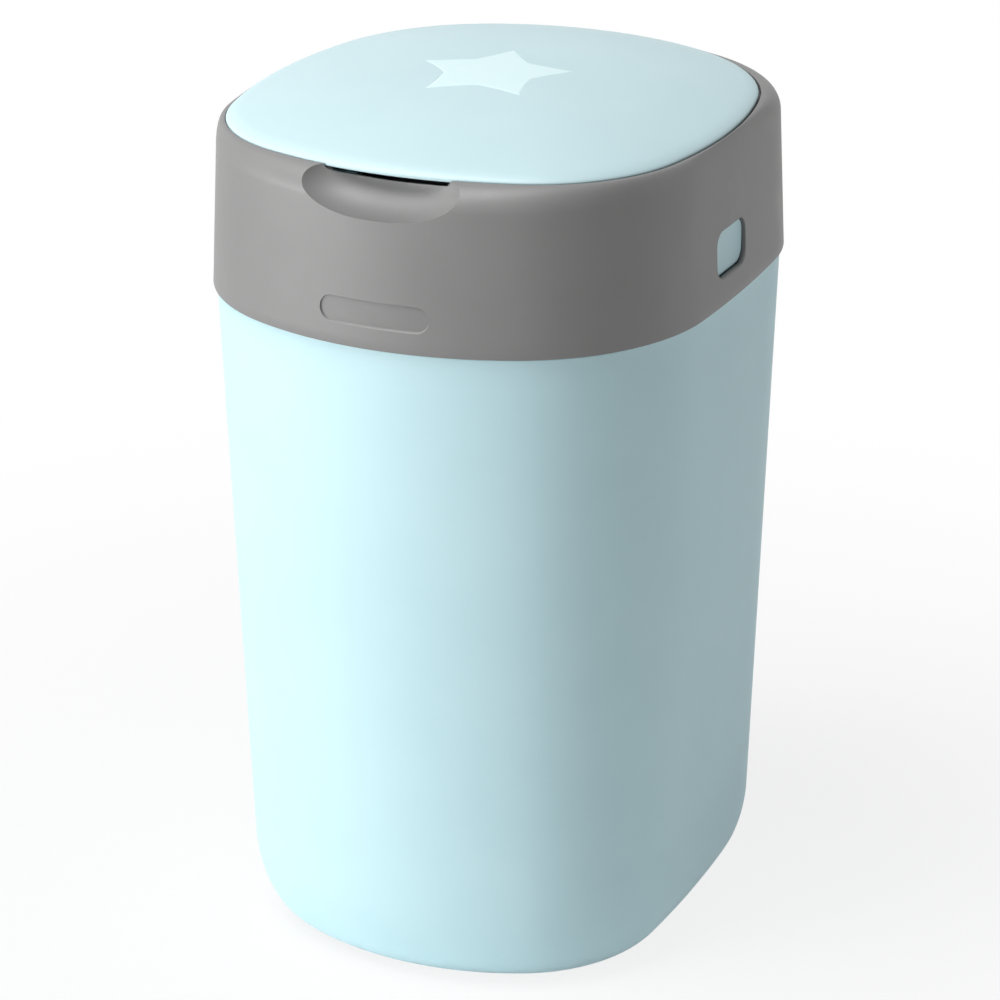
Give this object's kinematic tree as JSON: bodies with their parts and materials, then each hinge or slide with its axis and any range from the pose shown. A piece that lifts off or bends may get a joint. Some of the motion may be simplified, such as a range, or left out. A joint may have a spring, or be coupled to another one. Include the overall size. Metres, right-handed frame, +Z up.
{
  "type": "nappy bin",
  "caption": "Free-standing nappy bin: tapered tub, hinged collar head with side release buttons, twist ring and film cassette, and a domed hinged lid with a finger scoop.",
  "frame": {"origin": "on the floor, under the middle of the collar", "axes": "+Z up, the front with its finger scoop faces -Y, +X to the right seen from the front"},
  "size_m": [0.27, 0.3107, 0.4677],
  "materials": {
    "aqua_plastic": "satin moulded, pale aqua",
    "pale_aqua": "satin, lighter than the lid",
    "grey_plastic": "fine spark-eroded grain, warm mid grey",
    "dark_plastic": "moulded, dark grey",
    "white_plastic": "moulded, off white",
    "steel": "zinc plated",
    "soft_rubber": "matt black-grey",
    "film": "thin pleated plastic film"
  },
  "bodies": {
    "tub": {"tub_shell": "aqua_plastic", "foot_pads": "soft_rubber", "rim_seal": "soft_rubber", "hinge_bracket": "steel", "bracket_screws": "steel", "latch_keepers": "steel", "keeper_screws": "steel"},
    "head": {"collar_shell": "grey_plastic", "head_base": "dark_plastic", "inner_panel": "dark_plastic", "post_screws": "steel", "bearing_ring": "white_plastic", "head_hinge_pin": "steel", "lid_hinge_pin": "steel", "latch_left": "white_plastic", "latch_right": "white_plastic", "latch_screws": "steel", "button_spring_left": "steel", "button_spring_right": "steel", "pawl_pin": "steel", "pawl_spring": "steel", "cutter_rail": "dark_plastic"},
    "lid": {"lid_shell": "aqua_plastic", "star_inlay": "pale_aqua", "lid_liner": "white_plastic", "liner_screws": "steel", "lid_seal": "soft_rubber"},
    "ring": {"twist_ring": "white_plastic", "grip_ring": "aqua_plastic", "cassette_tray": "white_plastic", "cassette_cap": "white_plastic", "film_pack": "film", "film_sleeve": "film"},
    "pawl": {"pawl": "white_plastic"},
    "button_left": {"button_left": "aqua_plastic"},
    "button_right": {"button_right": "aqua_plastic"},
    "cutter": {"cutter_slide": "aqua_plastic", "cutter_blade": "steel"}
  },
  "joints": [
    {"name": "head_hinge", "type": "hinge", "parent": "tub", "child": "head", "pos_m": [0, 0.146, 0.375], "axis": [-1, 0, 0], "range_deg": [0, 95]},
    {"name": "lid_hinge", "type": "hinge", "parent": "head", "child": "lid", "pos_m": [0, 0.144, 0.4435], "axis": [-1, 0, 0], "range_deg": [0, 100]},
    {"name": "ring_turn", "type": "hinge", "parent": "head", "child": "ring", "pos_m": [0, 0, 0.4], "axis": [0, 0, 1], "continuous": true},
    {"name": "pawl_pivot", "type": "hinge", "parent": "head", "child": "pawl", "pos_m": [0.02899, -0.10818, 0.424], "axis": [0, 0, 1], "range_deg": [0, 9], "stiffness_Nm_per_rad": 0.05, "springref_deg": -5.73, "deforming": ["pawl_spring"]},
    {"name": "button_left_press", "type": "slide", "parent": "head", "child": "button_left", "axis": [1, 0, 0], "range_m": [0, 0.0025], "stiffness_N_per_m": 900, "springref_m": -0.001, "deforming": ["button_spring_left", "latch_left"]},
    {"name": "button_right_press", "type": "slide", "parent": "head", "child": "button_right", "axis": [-1, 0, 0], "range_m": [0, 0.0025], "stiffness_N_per_m": 900, "springref_m": -0.001, "deforming": ["button_spring_right", "latch_right"]},
    {"name": "cutter_travel", "type": "slide", "parent": "head", "child": "cutter", "axis": [1, 0, 0], "range_m": [0, 0.06]}
  ]
}
